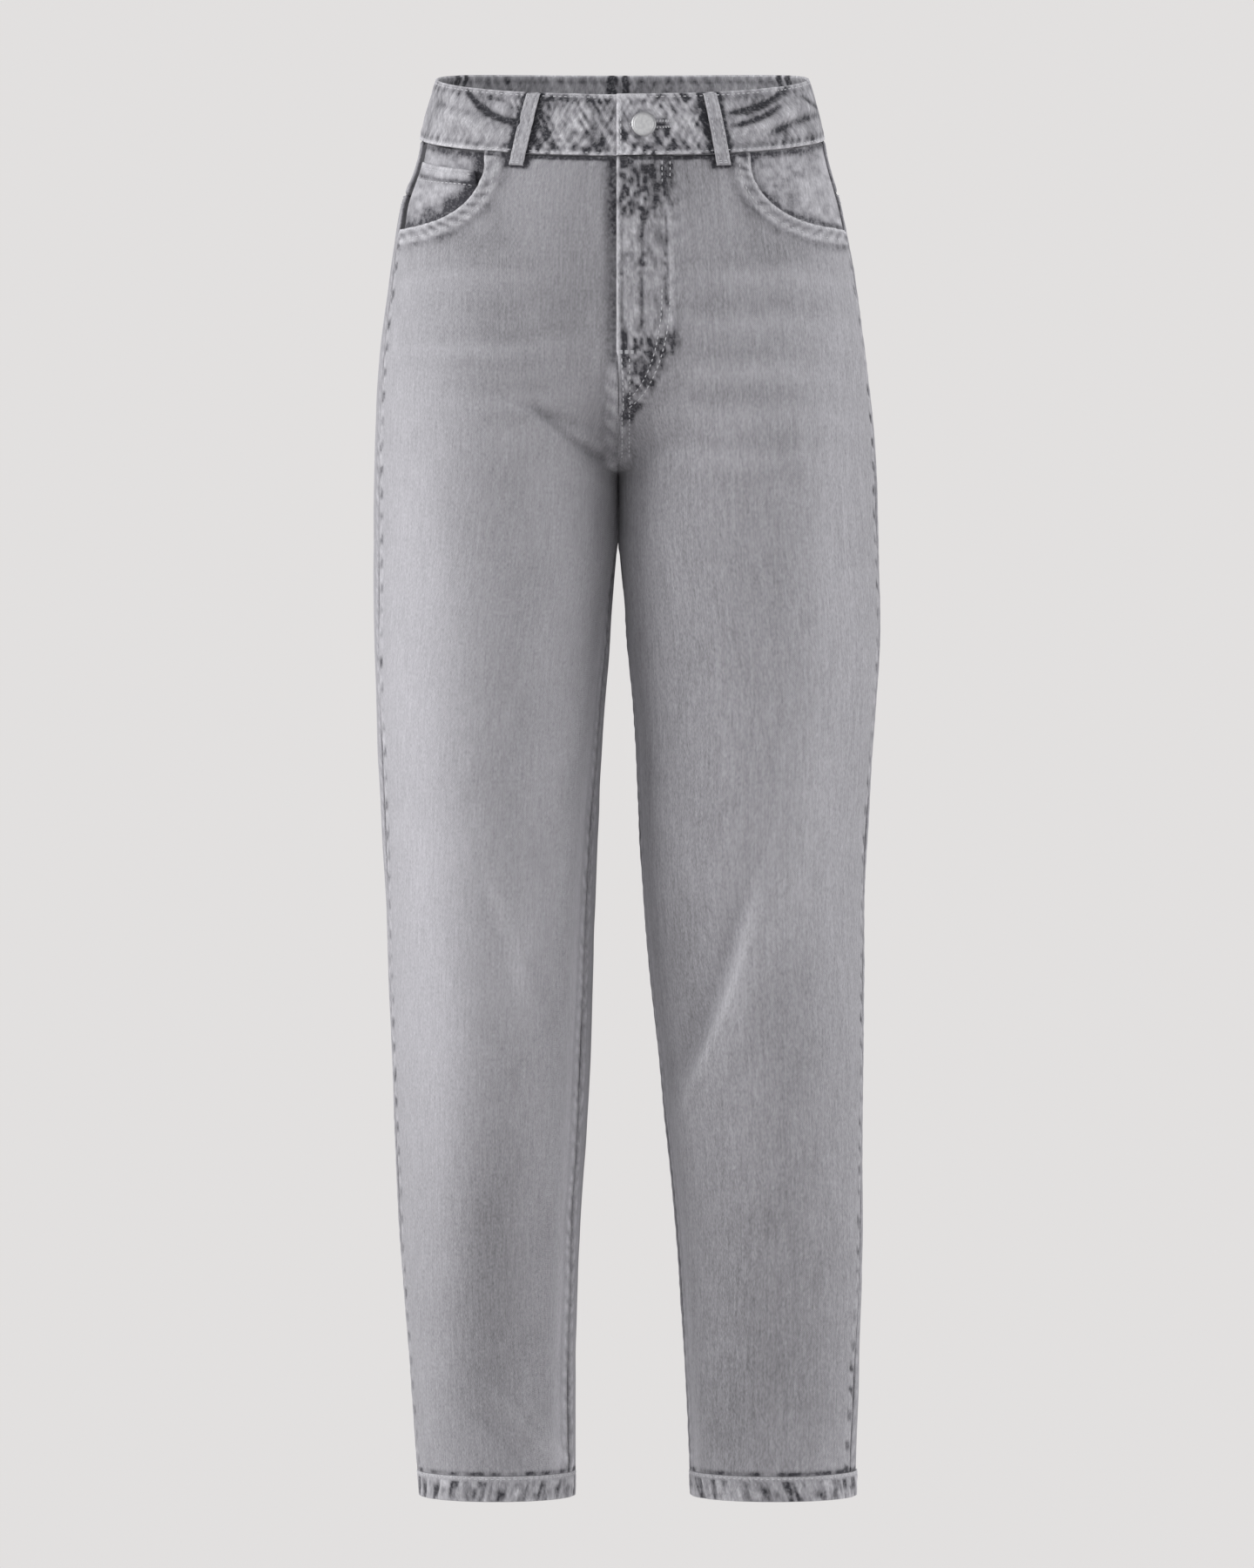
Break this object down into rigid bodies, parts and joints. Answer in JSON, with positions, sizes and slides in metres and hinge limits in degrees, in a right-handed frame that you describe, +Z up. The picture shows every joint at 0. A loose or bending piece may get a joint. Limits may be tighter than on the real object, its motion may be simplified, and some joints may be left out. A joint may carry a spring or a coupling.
{
  "type": "barrel jeans",
  "caption": "High-waisted barrel jeans in grey washed denim, in the filled-out form they have when worn, hollow and open at the waist and at both hems.",
  "frame": {"origin": "middle of the waist opening, level with the front button, where the wearer holds the garment up", "axes": "+Z up, +X to the wearer's left, and the front with its button faces -Y"},
  "size_m": [0.3539, 0.2401, 1.005],
  "materials": {
    "denim": "washed grey cotton twill, matt",
    "worn_denim": "washed grey cotton twill, rubbed pale at the edges",
    "tape": "woven tape, matt",
    "metal": "pale antique silver, satin"
  },
  "bodies": {
    "root": {"front_right": "denim", "front_left": "denim", "back_right": "denim", "back_left": "denim", "yoke_right": "denim", "yoke_left": "denim", "hem_right": "worn_denim", "hem_left": "worn_denim", "back_pocket_right": "denim", "back_pocket_left": "denim", "pocket_facing_right": "denim", "pocket_facing_left": "denim", "coin_pocket": "denim", "waistband": "worn_denim", "zip_tape": "tape", "fly_shield": "denim", "button": "metal", "belt_loop_front_left": "worn_denim", "belt_loop_front_right": "worn_denim", "belt_loop_back_left": "worn_denim", "belt_loop_back_right": "worn_denim", "belt_loop_middle_back": "worn_denim"}
  },
  "joints": []
}
